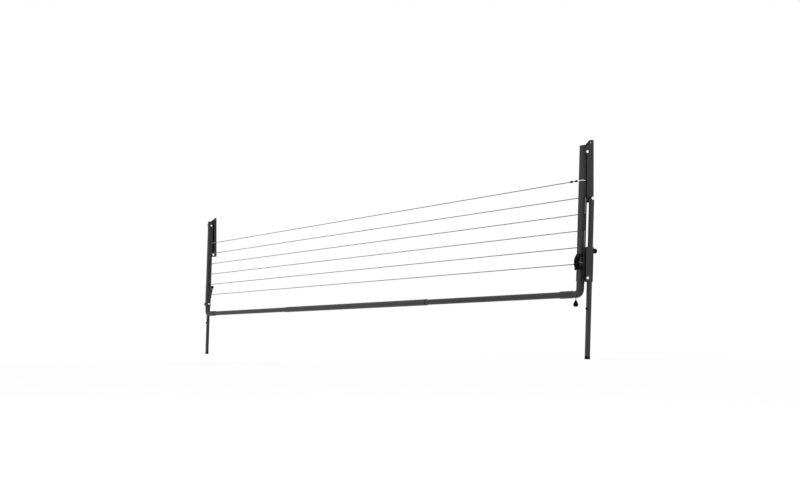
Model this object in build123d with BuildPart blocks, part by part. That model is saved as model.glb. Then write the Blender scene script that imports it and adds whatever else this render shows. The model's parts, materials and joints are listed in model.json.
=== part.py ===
from build123d import *
from math import atan, cos, pi, radians, sin
import os

# Wall mounted fold down drying rack, millimetres.  X runs along the wall, +Y into it, +Z up.
# The origin is the middle of the four wall screws, on the wall.  Folded: both arms hang down.
os.makedirs("parts", exist_ok=True)

# ---- driving dimensions ------------------------------------------------------------------
ARM_X = 1350.0            # centre plane of each arm, from the middle of the rack
LEAN = 2.0                # arms and braces hang this far forward of plumb, degrees
SCREW_PITCH = 150.0       # height between the two wall screws of a bracket
SCREW_R = 4.0
PIVOT_OUT = 27.4          # arm pivot, distance from the wall
PIVOT_Z = 47.0            # arm pivot, height
BRACE_PIVOT_OUT = 18.6
BRACE_PIVOT_Z = -92.1

ARM_SIDE = 20.0           # square arm tube
ARM_WALL = 1.5
ARM_CORNER = 3.0
ARM_TOP = 17.3            # tube above its pivot
ARM_END = 384.0           # tube below its pivot
BAR_DOWN = 421.6          # front bar, below the arm pivot along the arm
LINE_FIRST = 85.5         # first line hole, below the arm pivot
LINE_STEP = 49.2
LINE_COUNT = 6
BRACE_GAP_X = 24.3        # brace centre plane, outboard of the arm's
BRACE_SIDE = 12.0
BRACE_WALL = 1.2
BRACE_TUBE_END = 467.0    # below the brace pivot
SLIDE_PIVOT_DOWN = 374.8  # carriage pivot, below the arm pivot along the arm
PLUNGER_DOWN = 154.2      # lock plunger, below the brace pivot along the brace

SHEET = 2.5               # bracket steel
PLATE_X = 12.9            # bracket outer plate, its face towards the arm, from the arm's centre plane
INNER_PLATE_X = 10.3      # bracket inner plate, its face towards the arm
FIT = 0.08                # radial clearance of a pivot
GAP = 0.3                 # between faces that move past each other
CORD_R = 1.5

UP = Vector(0, sin(radians(LEAN)), cos(radians(LEAN)))       # along a leaning tube
WALLWARD = Vector(0, cos(radians(LEAN)), -sin(radians(LEAN)))
ARM_PIVOT = Vector(0, -PIVOT_OUT, PIVOT_Z)
BRACE_PIVOT = Vector(0, -BRACE_PIVOT_OUT, BRACE_PIVOT_Z)
LINES = [LINE_FIRST + LINE_STEP * row for row in range(LINE_COUNT)]

# The carriage pivot seen from the brace pivot: along the brace, and out in front of it.
REACH = ARM_PIVOT - UP * SLIDE_PIVOT_DOWN - BRACE_PIVOT
SLIDE_DOWN = -REACH.dot(UP)
SLIDE_FRONT = -REACH.dot(WALLWARD)
# With the arms level the carriage has slid down the brace until the plunger meets the lock bush.
OPEN_REACH = ARM_PIVOT + Vector(0, -SLIDE_PIVOT_DOWN, 0) - BRACE_PIVOT
OPEN_SLIDE = (OPEN_REACH.length**2 - SLIDE_FRONT**2) ** 0.5
LOCK_TRAVEL = OPEN_SLIDE - SLIDE_DOWN
DOME_SHARE = 0.75         # of a button head's height, rounded over


# ---- helpers -----------------------------------------------------------------------------
def leaning(pivot, facing, x=0.0, y=0.0, z=0.0):
    """A plane in a pivot's leaning frame: x along the wall, y towards it, z up the tube."""
    origin = pivot + Vector(x, 0, 0) + WALLWARD * y + UP * z
    x_dir, normal = {
        "side": (WALLWARD, Vector(1, 0, 0)),
        "front": (Vector(1, 0, 0), WALLWARD * -1),
        "top": (Vector(1, 0, 0), UP),
    }[facing]
    return Plane(origin=origin, x_dir=x_dir, z_dir=normal)


def save(piece, name):
    piece.label = name
    export_step(piece, f"parts/{name}.step")
    box = piece.bounding_box().size
    print(f"{name}: {len(piece.solids())} solids, {box.X:.1f} x {box.Y:.1f} x {box.Z:.1f}")


def save_pair(piece, name):
    """Write the right-hand piece and its mirror image on the left."""
    save(piece, f"right_{name}")
    with BuildPart() as opposite:
        mirror(piece, about=Plane.YZ)
    save(opposite.part, f"left_{name}")


def save_both(piece, name):
    """Write the right-hand piece and its mirror image as one group."""
    with BuildPart() as group:
        add(piece)
        mirror(piece, about=Plane.YZ)
    save(group.part, name)


def disc(pivot, x_from, x_to, radius, y=0.0, z=0.0, bore=0.0):
    """A round piece across the wall direction, between two X planes, bored if asked."""
    with BuildPart() as round_piece:
        with BuildSketch(leaning(pivot, "side", x_from, y, z)):
            Circle(radius)
            if bore > 0:
                Circle(bore, mode=Mode.SUBTRACT)
        extrude(amount=x_to - x_from)
    return round_piece.part


def domed(pivot, x_from, x_to, radius, y=0.0, z=0.0):
    """A button head: a disc whose outer rim is rounded over."""
    with BuildPart() as head:
        with BuildSketch(leaning(pivot, "side", x_from, y, z)):
            Circle(radius)
        extrude(amount=x_to - x_from)
        fillet(rim_at(head, x_to), abs(x_to - x_from) * DOME_SHARE)
    return head.part


def rim_at(piece, x):
    """The round edges of a piece nearest to an X plane."""
    return piece.edges().filter_by(GeomType.CIRCLE).sort_by(lambda edge: abs(edge.center().X - x))[0]


# ---- wall bracket: a web on the wall, a deep plate outboard of the arm, a shallow one inboard
WEB_TOP = 85.5
WEB_BOTTOM = -100.1
EAR_CORNER = 10.0
FOOT_CORNER = 3.0
PLATE_TOP = 82.0
SLOPE_MIDDLE = (-16.9, 71.0)
SLOPE_END_Z = 57.0
PLATE_FRONT = 27.0        # straight front edge, distance from the wall
PIVOT_LOBE = 8.4
BRACE_LOBE = 8.0
INNER_TOP = 80.5
INNER_FRONT = 12.0
INNER_SLOPE_Z = -70.0
PIVOT_R = 4.0             # arm pivot bolt
SMALL_PIVOT_R = 3.0       # brace and carriage pivot bolts
BEND_R = 3.0

plate_outer = ARM_X + PLATE_X + SHEET
inner_outer = ARM_X - INNER_PLATE_X - SHEET
web_width = plate_outer - inner_outer
pivot_front = PIVOT_OUT + PIVOT_LOBE
with BuildPart() as wall_bracket:
    # the bent channel, full height, then trimmed to its outline from the side and from the front
    with BuildSketch(Plane.XY.offset(WEB_BOTTOM)):
        with BuildLine():
            FilletPolyline(
                (inner_outer + SHEET / 2, -INNER_FRONT), (inner_outer + SHEET / 2, -SHEET / 2),
                (plate_outer - SHEET / 2, -SHEET / 2), (plate_outer - SHEET / 2, -pivot_front), radius=BEND_R,
            )
            offset(amount=SHEET / 2, side=Side.BOTH)
        make_face()
    extrude(amount=WEB_TOP - WEB_BOTTOM)
    with BuildSketch(Plane.YZ.offset(ARM_X)):
        with BuildLine():
            Polyline(
                (0, WEB_TOP), (-SHEET, WEB_TOP), (-SHEET, PLATE_TOP), SLOPE_MIDDLE,
                (-pivot_front, SLOPE_END_Z), (-pivot_front, PIVOT_Z), (-PLATE_FRONT, PIVOT_Z),
                (-PLATE_FRONT, BRACE_PIVOT_Z), (-BRACE_PIVOT_OUT, WEB_BOTTOM), (0, WEB_BOTTOM), (0, WEB_TOP),
            )
        make_face()
        with Locations((-PIVOT_OUT, PIVOT_Z)):
            Circle(PIVOT_LOBE)
        with Locations((-BRACE_PIVOT_OUT, BRACE_PIVOT_Z)):
            Circle(BRACE_LOBE)
    extrude(amount=web_width, both=True, mode=Mode.INTERSECT)
    with BuildSketch(Plane.XZ.offset(-SHEET)):
        with Locations(((inner_outer + plate_outer) / 2, (WEB_TOP + WEB_BOTTOM) / 2)):
            RectangleRounded(web_width, WEB_TOP - WEB_BOTTOM, EAR_CORNER)
        with Locations(((inner_outer + plate_outer) / 2, WEB_BOTTOM + EAR_CORNER)):
            RectangleRounded(web_width, 2 * EAR_CORNER, FOOT_CORNER)
    extrude(amount=2 * PIVOT_OUT, mode=Mode.INTERSECT)
    with BuildSketch(Plane.YZ.offset(inner_outer)):
        with BuildLine():
            slope_foot = INNER_TOP - INNER_FRONT + SHEET
            Polyline((-SHEET, INNER_TOP), (-INNER_FRONT - BEND_R, slope_foot - BEND_R),
                     (-INNER_FRONT - BEND_R, WEB_TOP), (-SHEET, WEB_TOP), close=True)
        make_face()
    extrude(amount=SHEET + BEND_R, mode=Mode.SUBTRACT)
    with BuildSketch(Plane.YZ.offset(inner_outer)):
        with Locations((-BRACE_PIVOT_OUT, BRACE_PIVOT_Z)):
            Circle(BRACE_LOBE)
        with BuildLine():
            Polyline(
                (-SHEET, INNER_SLOPE_Z), (-INNER_FRONT, INNER_SLOPE_Z), (-BRACE_PIVOT_OUT, BRACE_PIVOT_Z),
                (-BRACE_PIVOT_OUT, WEB_BOTTOM), (-SHEET, WEB_BOTTOM), (-SHEET, INNER_SLOPE_Z),
            )
        make_face()
    extrude(amount=SHEET)
    with BuildSketch(Plane.YZ.offset(inner_outer)):
        with Locations((-PIVOT_OUT, PIVOT_Z)):
            Circle(PIVOT_R)
        with Locations((-BRACE_PIVOT_OUT, BRACE_PIVOT_Z)):
            Circle(SMALL_PIVOT_R)
    extrude(amount=web_width, mode=Mode.SUBTRACT)
    with BuildSketch(Plane.XZ):
        with Locations((ARM_X, SCREW_PITCH / 2), (ARM_X, -SCREW_PITCH / 2)):
            Circle(SCREW_R)
    extrude(amount=SHEET, mode=Mode.SUBTRACT)
save_pair(wall_bracket.part, "wall_bracket")

# ---- arm: square tube with pivot holes and six line holes through both sides --------------
GROMMET_R = 2.8           # hole for a line grommet
CORD_SLOT_DOWN = 355.5    # slot where the cord enters the right arm
CORD_SLOT_X = -4.0
CORD_SLOT = (5.0, 14.0)


def arm_tube(x, cord_slot):
    """Square arm tube at an X plane; the right one has a slot for the cord at its front."""
    with BuildPart() as arm:
        with BuildSketch(leaning(ARM_PIVOT, "top", x, 0, -ARM_END)):
            RectangleRounded(ARM_SIDE, ARM_SIDE, ARM_CORNER)
            RectangleRounded(ARM_SIDE - 2 * ARM_WALL, ARM_SIDE - 2 * ARM_WALL, ARM_CORNER - ARM_WALL,
                             mode=Mode.SUBTRACT)
        extrude(amount=ARM_TOP + ARM_END)
        with BuildSketch(leaning(ARM_PIVOT, "side", x - ARM_SIDE / 2)):
            Circle(PIVOT_R + FIT)
            with Locations((0, -SLIDE_PIVOT_DOWN)):
                Circle(SMALL_PIVOT_R)
            with Locations([(0, -down) for down in LINES]):
                Circle(GROMMET_R)
        extrude(amount=ARM_SIDE, mode=Mode.SUBTRACT)
        if cord_slot:
            with BuildSketch(leaning(ARM_PIVOT, "front", x, -ARM_SIDE / 2 + ARM_WALL)):
                with Locations((CORD_SLOT_X, -CORD_SLOT_DOWN)):
                    SlotOverall(CORD_SLOT[1], CORD_SLOT[0], rotation=90)
            extrude(amount=ARM_WALL, mode=Mode.SUBTRACT)
    return arm.part


save(arm_tube(ARM_X, True), "right_arm")
save(arm_tube(-ARM_X, False), "left_arm")

# ---- arm top cap: a plate on the tube's end and a plug inside it --------------------------
CAP_PLATE = 2.5
CAP_ROUND = 1.0
PLUG_DEPTH = 8.0
PLUG_GAP = 0.1
with BuildPart() as arm_top_cap:
    with BuildSketch(leaning(ARM_PIVOT, "top", ARM_X, 0, ARM_TOP)):
        RectangleRounded(ARM_SIDE, ARM_SIDE, ARM_CORNER)
    extrude(amount=CAP_PLATE)
    fillet(arm_top_cap.faces().sort_by(lambda face: -face.center().dot(UP))[0].edges(), CAP_ROUND)
    plug_side = ARM_SIDE - 2 * (ARM_WALL + PLUG_GAP)
    with BuildSketch(leaning(ARM_PIVOT, "top", ARM_X, 0, ARM_TOP)):
        RectangleRounded(plug_side, plug_side, ARM_CORNER - ARM_WALL)
    extrude(amount=-PLUG_DEPTH)
save_pair(arm_top_cap.part, "arm_top_cap")

# ---- elbow: spigot into the arm, swept corner, round collar for the bar -------------------
ELBOW_BEND = 16.0
ELBOW_CORNER = 6.0
ELBOW_BORE = 7.0
SPIGOT_SIDE = 16.6
SPIGOT_TOP = 366.0
SPIGOT_BORE_SIDE = 13.6
SPIGOT_BORE_CORNER = 1.0
COLLAR_START = 34.0       # inboard of the arm's centre plane
COLLAR_END = 87.0
COLLAR_R = 11.3
SOCKET_DEPTH = 48.0
THIN_R = 9.5              # bar tube that goes in the elbow
TUBE_WALL = 1.2
TAIL_IN = 18.2            # the cord leaves the elbow here, inboard of the arm's centre plane
TAIL_HOLE_R = 2.6


def elbow_path():
    """Down the arm's axis, round the corner and inboard to the collar."""
    bend_top = -(BAR_DOWN - ELBOW_BEND)
    with BuildLine(leaning(ARM_PIVOT, "front")) as path:
        leg = Line((ARM_X, -ARM_END), (ARM_X, bend_top))
        corner = TangentArc((ARM_X, bend_top), (ARM_X - ELBOW_BEND, -BAR_DOWN), tangent=leg % 1)
        Line(corner @ 1, (ARM_X - COLLAR_START, -BAR_DOWN))
    return path.line


def elbow_piece(tail_hole):
    """The right-hand elbow; only the cord side has a hole underneath for the cord's tail."""
    route = elbow_path()
    start = leaning(ARM_PIVOT, "top", ARM_X, 0, -ARM_END)
    bar_axis = Plane(origin=ARM_PIVOT + Vector(ARM_X - COLLAR_END, 0, 0) - UP * BAR_DOWN,
                     x_dir=WALLWARD, z_dir=Vector(1, 0, 0))
    with BuildPart() as elbow:
        with BuildSketch(start):
            RectangleRounded(ARM_SIDE, ARM_SIDE, ELBOW_CORNER)
        sweep(path=route)
        with BuildSketch(start):
            RectangleRounded(SPIGOT_SIDE, SPIGOT_SIDE, ARM_CORNER - ARM_WALL)
        extrude(amount=ARM_END - SPIGOT_TOP)
        with BuildSketch(bar_axis):
            Circle(COLLAR_R)
        extrude(amount=COLLAR_END - COLLAR_START)
        with BuildSketch(start):
            Circle(ELBOW_BORE)
        sweep(path=route, mode=Mode.SUBTRACT)
        with BuildSketch(start):
            RectangleRounded(SPIGOT_BORE_SIDE, SPIGOT_BORE_SIDE, SPIGOT_BORE_CORNER)
        extrude(amount=ARM_END - SPIGOT_TOP, mode=Mode.SUBTRACT)
        with BuildSketch(bar_axis):
            Circle(THIN_R + PLUG_GAP)
        extrude(amount=SOCKET_DEPTH, mode=Mode.SUBTRACT)
        with BuildSketch(bar_axis):
            Circle(ELBOW_BORE)
        extrude(amount=COLLAR_END - COLLAR_START, mode=Mode.SUBTRACT)
        with BuildSketch(leaning(ARM_PIVOT, "side", ARM_X - ARM_SIDE / 2, 0, -SLIDE_PIVOT_DOWN)):
            Circle(SMALL_PIVOT_R)
        extrude(amount=ARM_SIDE, mode=Mode.SUBTRACT)
        if tail_hole:
            with BuildSketch(leaning(ARM_PIVOT, "top", ARM_X - TAIL_IN, 0, -BAR_DOWN)):
                Circle(TAIL_HOLE_R)
            extrude(amount=-ARM_SIDE, mode=Mode.SUBTRACT)
    return elbow.part


save(elbow_piece(True), "right_elbow")
with BuildPart() as left_elbow:
    mirror(elbow_piece(False), about=Plane.YZ)
save(left_elbow.part, "left_elbow")

# ---- front bar: a thin tube from each elbow slides in a thick half, joined in the middle --
THICK_R = 11.0
THICK_END = 534.0
THIN_INNER_END = 395.0
MIDDLE_GAP = 0.25
JOINER_HALF = 60.0
BUTTON_FROM_END = 24.0
BUTTON_R = 3.0
SLIP = 0.1


def bar_plane(x):
    """Across the bar at an X plane, facing +X."""
    return leaning(ARM_PIVOT, "side", x, 0, -BAR_DOWN)


def bar_tube(x_from, x_to, outer, inner):
    """A round tube of the front bar with its button hole at the wall side."""
    with BuildPart() as tube:
        with BuildSketch(bar_plane(x_from)):
            Circle(outer)
            Circle(inner, mode=Mode.SUBTRACT)
        extrude(amount=x_to - x_from)
        with BuildSketch(leaning(ARM_PIVOT, "front", THICK_END - BUTTON_FROM_END, 0, -BAR_DOWN)):
            Circle(BUTTON_R + SLIP)
        extrude(amount=-outer, mode=Mode.SUBTRACT)
    return tube.part


thin_outer_end = ARM_X - COLLAR_END + SOCKET_DEPTH
save_pair(bar_tube(THIN_INNER_END, thin_outer_end, THIN_R, THIN_R - TUBE_WALL), "inner_tube")
save_pair(bar_tube(MIDDLE_GAP, THICK_END, THICK_R, THICK_R - TUBE_WALL), "outer_tube")

joiner_r = THICK_R - TUBE_WALL - SLIP
with BuildPart() as bar_joiner:
    with BuildSketch(bar_plane(-JOINER_HALF)):
        Circle(joiner_r)
        Circle(joiner_r - TUBE_WALL, mode=Mode.SUBTRACT)
    extrude(amount=2 * JOINER_HALF)
save(bar_joiner.part, "bar_joiner")

# ---- snap buttons: a leaf spring inside the thin tube with a button through both walls ----
BUTTON_PROUD = 0.9
LEAF = 0.6
LEAF_WIDTH = 5.0
LEAF_LENGTH = 34.0
LEAF_Y = 7.1
button_x = THICK_END - BUTTON_FROM_END
with BuildPart() as snap_button:
    with BuildSketch(leaning(ARM_PIVOT, "front", button_x, LEAF_Y, -BAR_DOWN)):
        Circle(BUTTON_R)
    extrude(amount=-(THICK_R + BUTTON_PROUD - LEAF_Y))
    fillet(snap_button.edges().filter_by(GeomType.CIRCLE).sort_by(Axis.Y)[-1], BUTTON_PROUD / 2)
    with BuildSketch(leaning(ARM_PIVOT, "top", 0, 0, -BAR_DOWN - LEAF_WIDTH / 2)):
        with BuildLine():
            bend_x = button_x - LEAF_LENGTH + LEAF_Y
            Line((button_x + BUTTON_R, LEAF_Y), (bend_x, LEAF_Y))
            ThreePointArc((bend_x, LEAF_Y), (bend_x - LEAF_Y, 0), (bend_x, -LEAF_Y))
            Line((bend_x, -LEAF_Y), (button_x + BUTTON_R, -LEAF_Y))
            offset(amount=LEAF / 2, side=Side.BOTH)
        make_face()
    extrude(amount=LEAF_WIDTH)
save_both(snap_button.part, "snap_buttons")

# ---- brace: square tube with a closed round top, pivoted on the bracket -------------------
BRACE_CORNER = 1.5
BUSH_R = 3.5
PIN_HOLE_R = 2.3
brace_x = ARM_X + BRACE_GAP_X
half_brace = BRACE_SIDE / 2
bore_side = BRACE_SIDE - 2 * BRACE_WALL
with BuildPart() as brace:
    with BuildSketch(leaning(BRACE_PIVOT, "side", brace_x - half_brace)):
        Circle(half_brace)
        with Locations((0, -BRACE_TUBE_END)):
            Rectangle(BRACE_SIDE, BRACE_TUBE_END, align=(Align.CENTER, Align.MIN))
    extrude(amount=BRACE_SIDE)
    long_edges = brace.edges().filter_by(lambda edge: edge.length > BRACE_TUBE_END - 1)
    fillet(long_edges, BRACE_CORNER)
    with BuildSketch(leaning(BRACE_PIVOT, "top", brace_x, 0, -BRACE_TUBE_END)):
        Rectangle(bore_side, bore_side)
    extrude(amount=BRACE_TUBE_END, mode=Mode.SUBTRACT)
    with BuildSketch(leaning(BRACE_PIVOT, "side", brace_x - half_brace)):
        Circle(SMALL_PIVOT_R + FIT)
    extrude(amount=BRACE_SIDE, mode=Mode.SUBTRACT)
    with BuildSketch(leaning(BRACE_PIVOT, "front", brace_x, 0, -PLUNGER_DOWN)):
        Circle(PIN_HOLE_R)
    extrude(amount=-half_brace, mode=Mode.SUBTRACT)
    with BuildSketch(leaning(BRACE_PIVOT, "front", brace_x, half_brace, -PLUNGER_DOWN - LOCK_TRAVEL)):
        Circle(BUSH_R)
    extrude(amount=BRACE_SIDE, mode=Mode.SUBTRACT)
save_pair(brace.part, "brace")

CAP_OVER = 0.4
CAP_LENGTH = 8.0
CAP_PLUG = 12.0
with BuildPart() as brace_end_cap:
    cap_side = BRACE_SIDE + 2 * CAP_OVER
    with BuildSketch(leaning(BRACE_PIVOT, "top", brace_x, 0, -BRACE_TUBE_END)):
        RectangleRounded(cap_side, cap_side, BRACE_CORNER + CAP_OVER)
    extrude(amount=-CAP_LENGTH)
    fillet(brace_end_cap.faces().sort_by(lambda face: face.center().dot(UP))[0].edges(), CORD_R)
    with BuildSketch(leaning(BRACE_PIVOT, "top", brace_x, 0, -BRACE_TUBE_END)):
        Rectangle(bore_side - 2 * PLUG_GAP, bore_side - 2 * PLUG_GAP)
    extrude(amount=CAP_PLUG)
save_pair(brace_end_cap.part, "brace_end_cap")

# ---- lock bush: takes the plunger when the rack is open; its closed end shows in front ----
BUSH_PROUD = 4.5
with BuildPart() as lock_bush:
    with BuildSketch(leaning(BRACE_PIVOT, "front", brace_x, half_brace, -PLUNGER_DOWN - LOCK_TRAVEL)):
        Circle(BUSH_R)
    extrude(amount=BRACE_SIDE + BUSH_PROUD)
    fillet(lock_bush.edges().filter_by(GeomType.CIRCLE).sort_by(Axis.Y)[0], BUSH_R / 2)
    with BuildSketch(leaning(BRACE_PIVOT, "front", brace_x, half_brace, -PLUNGER_DOWN - LOCK_TRAVEL)):
        Circle(PIN_HOLE_R)
    extrude(amount=BRACE_SIDE, mode=Mode.SUBTRACT)
save_pair(lock_bush.part, "lock_bush")

# ---- carriage: folded channel that slides on the brace and is pivoted to the arm ----------
CARRIAGE_TOP = 144.0      # below the brace pivot
CARRIAGE_END = 247.0
CARRIAGE_SHEET = 1.2
WEB_GAP = 0.3
WALL_FRONT = 20.0         # front edge of a deep wall, from the brace's axis
SHALLOW_FRONT = 11.0      # and of the left carriage's outer wall
SLIDE_LOBE = 6.3
WING_OUT = 16.5           # a wing of the inner wall guards the knob from below
WING_START = 163.0
WING_END = 222.0
BARREL_R = 4.0

half_channel = half_brace + GAP
web_inner = half_brace + WEB_GAP
web_outer = web_inner + CARRIAGE_SHEET
carriage_middle = (CARRIAGE_TOP + CARRIAGE_END) / 2


def carriage_piece(outer_front):
    """The right-hand carriage, its outer wall this deep in front; a shallow one has a lobe at the pivot."""
    with BuildPart() as carriage:
        with BuildSketch(leaning(BRACE_PIVOT, "side", brace_x + half_channel)):
            with Locations(((web_outer - outer_front) / 2, -carriage_middle)):
                Rectangle(web_outer + outer_front, CARRIAGE_END - CARRIAGE_TOP)
            with Locations((-SLIDE_FRONT, -SLIDE_DOWN)):
                Circle(SLIDE_LOBE)
        extrude(amount=CARRIAGE_SHEET)
        with BuildSketch(leaning(BRACE_PIVOT, "side", brace_x - half_channel - CARRIAGE_SHEET)):
            with BuildLine():
                Polyline(
                    (web_inner, -CARRIAGE_TOP), (-WALL_FRONT, -CARRIAGE_TOP), (-WALL_FRONT, -CARRIAGE_END),
                    (web_inner, -CARRIAGE_END), (web_inner, -WING_END), (WING_OUT, -WING_START),
                    (web_inner, -WING_START), close=True,
                )
            make_face()
        extrude(amount=CARRIAGE_SHEET)
        with BuildSketch(leaning(BRACE_PIVOT, "front", brace_x, web_outer)):
            with Locations((0, -carriage_middle)):
                Rectangle(2 * (half_channel + CARRIAGE_SHEET), CARRIAGE_END - CARRIAGE_TOP)
        extrude(amount=CARRIAGE_SHEET)
        outer_corner = carriage.edges().filter_by(
            lambda edge: abs((edge @ 1 - edge @ 0).normalized().dot(UP)) > 1 - 1e-6
            and abs((edge.center() - BRACE_PIVOT).dot(WALLWARD) - web_outer) < 1e-3).sort_by(Axis.X)[-1]
        fillet(outer_corner, CARRIAGE_SHEET)
        with BuildSketch(leaning(BRACE_PIVOT, "side", brace_x - BRACE_GAP_X, -SLIDE_FRONT, -SLIDE_DOWN)):
            Circle(SMALL_PIVOT_R)
        extrude(amount=2 * BRACE_GAP_X, mode=Mode.SUBTRACT)
        with BuildSketch(leaning(BRACE_PIVOT, "front", brace_x, web_outer, -PLUNGER_DOWN)):
            Circle(BARREL_R)
        extrude(amount=CARRIAGE_SHEET, mode=Mode.SUBTRACT)
    return carriage.part


save(carriage_piece(WALL_FRONT), "right_carriage")
with BuildPart() as left_carriage:
    mirror(carriage_piece(SHALLOW_FRONT), about=Plane.YZ)
save(left_carriage.part, "left_carriage")

# ---- pivot bolts, nuts, washers and spacers -----------------------------------------------
HEAD_R = 4.6
HEAD = 2.8
NUT = 2.8
WASHER_R = 7.5
BRACE_HEAD_R = 5.4
carriage_outer = BRACE_GAP_X + half_channel + CARRIAGE_SHEET
carriage_inner = BRACE_GAP_X - half_channel - CARRIAGE_SHEET
half_arm = ARM_SIDE / 2

with BuildPart() as arm_pivot_bolt:
    add(disc(ARM_PIVOT, ARM_X - half_arm - GAP, plate_outer, PIVOT_R))
    add(domed(ARM_PIVOT, plate_outer, plate_outer + HEAD, HEAD_R))
save_both(arm_pivot_bolt.part, "arm_pivot_bolts")
save_both(domed(ARM_PIVOT, ARM_X - half_arm - GAP, ARM_X - half_arm - GAP - NUT, HEAD_R), "arm_pivot_nuts")
save_both(disc(ARM_PIVOT, ARM_X + half_arm + GAP, ARM_X + PLATE_X, WASHER_R, bore=PIVOT_R),
          "arm_pivot_washers")

with BuildPart() as brace_pivot_bolt:
    brace_outer = brace_x + half_brace
    add(disc(BRACE_PIVOT, inner_outer, brace_outer + GAP, SMALL_PIVOT_R))
    add(domed(BRACE_PIVOT, brace_outer + GAP, brace_outer + GAP + HEAD, BRACE_HEAD_R))
save_both(brace_pivot_bolt.part, "brace_pivot_bolts")
save_both(domed(BRACE_PIVOT, inner_outer, inner_outer - NUT, BRACE_HEAD_R), "brace_pivot_nuts")
save_both(disc(BRACE_PIVOT, plate_outer, brace_x - half_brace - GAP, half_brace, bore=SMALL_PIVOT_R),
          "brace_pivot_spacers")

with BuildPart() as carriage_pivot_bolt:
    slide = {"y": -SLIDE_FRONT, "z": -SLIDE_DOWN}
    add(disc(BRACE_PIVOT, ARM_X + half_arm + GAP, ARM_X + carriage_outer, SMALL_PIVOT_R, **slide))
    add(domed(BRACE_PIVOT, ARM_X + carriage_outer, ARM_X + carriage_outer + HEAD, HEAD_R, **slide))
save_pair(carriage_pivot_bolt.part, "carriage_pivot_bolt")
save_pair(disc(BRACE_PIVOT, ARM_X + half_arm + GAP, ARM_X + carriage_inner, half_brace,
               bore=SMALL_PIVOT_R, **slide), "carriage_pivot_spacer")

with BuildPart() as carriage_pivot_nut:
    add(disc(ARM_PIVOT, ARM_X - half_arm, ARM_X + half_arm, SMALL_PIVOT_R, z=-SLIDE_PIVOT_DOWN))
    add(domed(ARM_PIVOT, ARM_X - half_arm, ARM_X - half_arm - NUT, HEAD_R, z=-SLIDE_PIVOT_DOWN))
save_both(carriage_pivot_nut.part, "carriage_pivot_nuts")

# ---- lock plunger: barrel in the carriage's web, pin, spring and knob ---------------------
BARREL_BORE_R = 3.0
BARREL_END = 14.6         # all plunger stations are distances behind the brace's axis
BARREL_LID = 1.2
PIN_R = 2.0
PIN_TIP = 6.3
COLLAR_NEAR = 9.3
COLLAR_THICK = 1.0
FLAT = 9.0                # across the barrel's hexagon
HEXAGON_THICK = 2.4
KNOB_R = 7.4
KNOB_NEAR = 11.0
KNOB_ROOM = 17.6
KNOB_TIP = 20.6
KNOB_CAVITY_R = 5.7
SPRING_WIRE_R = 0.25
SPRING_R = 2.6
SPRING_TURNS = 3


def behind(y):
    """Across the plunger's axis at a distance behind the brace's axis, facing the wall."""
    plane = leaning(BRACE_PIVOT, "front", brace_x, y, -PLUNGER_DOWN)
    return Plane(origin=plane.origin, x_dir=plane.x_dir, z_dir=WALLWARD)


with BuildPart() as lock_barrel:
    with BuildSketch(behind(web_inner)):
        Circle(BARREL_R)
    extrude(amount=BARREL_END - web_inner)
    with BuildSketch(behind(web_outer)):
        RegularPolygon(FLAT / 2, 6, major_radius=False)
    extrude(amount=HEXAGON_THICK)
    with BuildSketch(behind(web_inner)):
        Circle(BARREL_BORE_R)
    extrude(amount=BARREL_END - BARREL_LID - web_inner, mode=Mode.SUBTRACT)
    with BuildSketch(behind(web_inner)):
        Circle(PIN_R + FIT)
    extrude(amount=BARREL_END - web_inner, mode=Mode.SUBTRACT)
save_pair(lock_barrel.part, "lock_barrel")

with BuildPart() as lock_pin:
    with BuildSketch(behind(PIN_TIP)):
        Circle(PIN_R)
    extrude(amount=KNOB_TIP - CAP_PLATE - PIN_TIP)
    chamfer(lock_pin.edges().filter_by(GeomType.CIRCLE).sort_by(Axis.Y)[0], PIN_R / 4)
    with BuildSketch(behind(COLLAR_NEAR)):
        Circle(BARREL_BORE_R - FIT)
    extrude(amount=COLLAR_THICK)
save_pair(lock_pin.part, "lock_pin")

with BuildPart() as lock_spring:
    spring_near = COLLAR_NEAR + COLLAR_THICK + SPRING_WIRE_R
    spring_length = BARREL_END - BARREL_LID - SPRING_WIRE_R - spring_near
    with BuildLine() as coil:
        Helix(spring_length / SPRING_TURNS, spring_length, SPRING_R - SPRING_WIRE_R,
              center=behind(spring_near).origin, direction=WALLWARD)
    with BuildSketch(Plane(origin=coil.line @ 0, z_dir=coil.line % 0)):
        Circle(SPRING_WIRE_R)
    sweep(path=coil.line, is_frenet=True)
save_pair(lock_spring.part, "lock_spring")

KNOB_RIBS = 12
RIB_CUT = 0.6
with BuildPart() as lock_knob:
    with BuildSketch(behind(KNOB_NEAR)):
        Circle(KNOB_R)
        with PolarLocations(KNOB_R + RIB_CUT / 2, KNOB_RIBS):
            Circle(RIB_CUT, mode=Mode.SUBTRACT)
    extrude(amount=KNOB_TIP - KNOB_NEAR)
    with BuildSketch(behind(KNOB_NEAR)):
        Circle(KNOB_CAVITY_R)
    extrude(amount=KNOB_ROOM - KNOB_NEAR, mode=Mode.SUBTRACT)
    with BuildSketch(behind(KNOB_ROOM)):
        Circle(PIN_R)
    extrude(amount=KNOB_TIP - CAP_PLATE - KNOB_ROOM, mode=Mode.SUBTRACT)
save_pair(lock_knob.part, "lock_knob")

# ---- line grommets: flanged rings in every line hole, both faces of both arms -------------
FLANGE_R = 3.4
FLANGE_THICK = 1.0
EYE_R = 2.25
with BuildPart() as line_grommets:
    for down in LINES:
        for face_side in (-1, 1):
            face_x = ARM_X + face_side * half_arm
            for radius, thick in ((FLANGE_R, face_side * FLANGE_THICK), (GROMMET_R, -face_side * ARM_WALL)):
                with BuildSketch(leaning(ARM_PIVOT, "side", face_x, 0, -down)):
                    Circle(radius)
                    Circle(EYE_R, mode=Mode.SUBTRACT)
                extrude(amount=thick)
save_pair(line_grommets.part, "line_grommets")

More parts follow.
